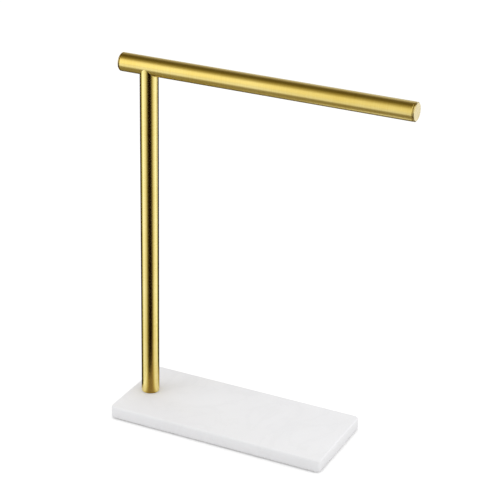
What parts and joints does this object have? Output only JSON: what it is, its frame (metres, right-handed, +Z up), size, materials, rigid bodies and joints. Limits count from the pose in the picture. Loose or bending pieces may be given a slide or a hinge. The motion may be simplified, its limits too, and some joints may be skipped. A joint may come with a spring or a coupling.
{
  "type": "countertop towel stand",
  "caption": "Free-standing towel stand: an upright tube near the end of a stone slab carries a horizontal bar in a coped saddle, open at its far end for a hand towel.",
  "frame": {"origin": "on the counter under the pads, below the middle of the bar and on the slab's centre line", "axes": "+Z up along the post, +X along the bar towards its free end, +Y across the slab to the rear"},
  "size_m": [0.314, 0.104, 0.387],
  "materials": {
    "stone": "honed white marble",
    "gold_tube": "stainless tube, brushed gold coating",
    "gold_cap": "turned stainless cap, brushed gold coating",
    "pad_rubber": "soft matt silicone",
    "gasket_rubber": "matt rubber",
    "fixings": "plain stainless, turned"
  },
  "bodies": {
    "root": {"base_slab": "stone", "foot_pad_front_left": "pad_rubber", "foot_pad_front_right": "pad_rubber", "foot_pad_rear_left": "pad_rubber", "foot_pad_rear_right": "pad_rubber", "base_screw": "fixings", "base_spring_washer": "fixings", "base_flat_washer": "fixings", "post_gasket": "gasket_rubber", "post_tube": "gold_tube", "post_foot_plug": "fixings", "post_saddle_plug": "fixings", "bar_screw": "fixings", "bar_spring_washer": "fixings", "bar_tube": "gold_tube", "bar_nut": "fixings", "bar_end_cap_left": "gold_cap", "bar_end_cap_right": "gold_cap"}
  },
  "joints": []
}
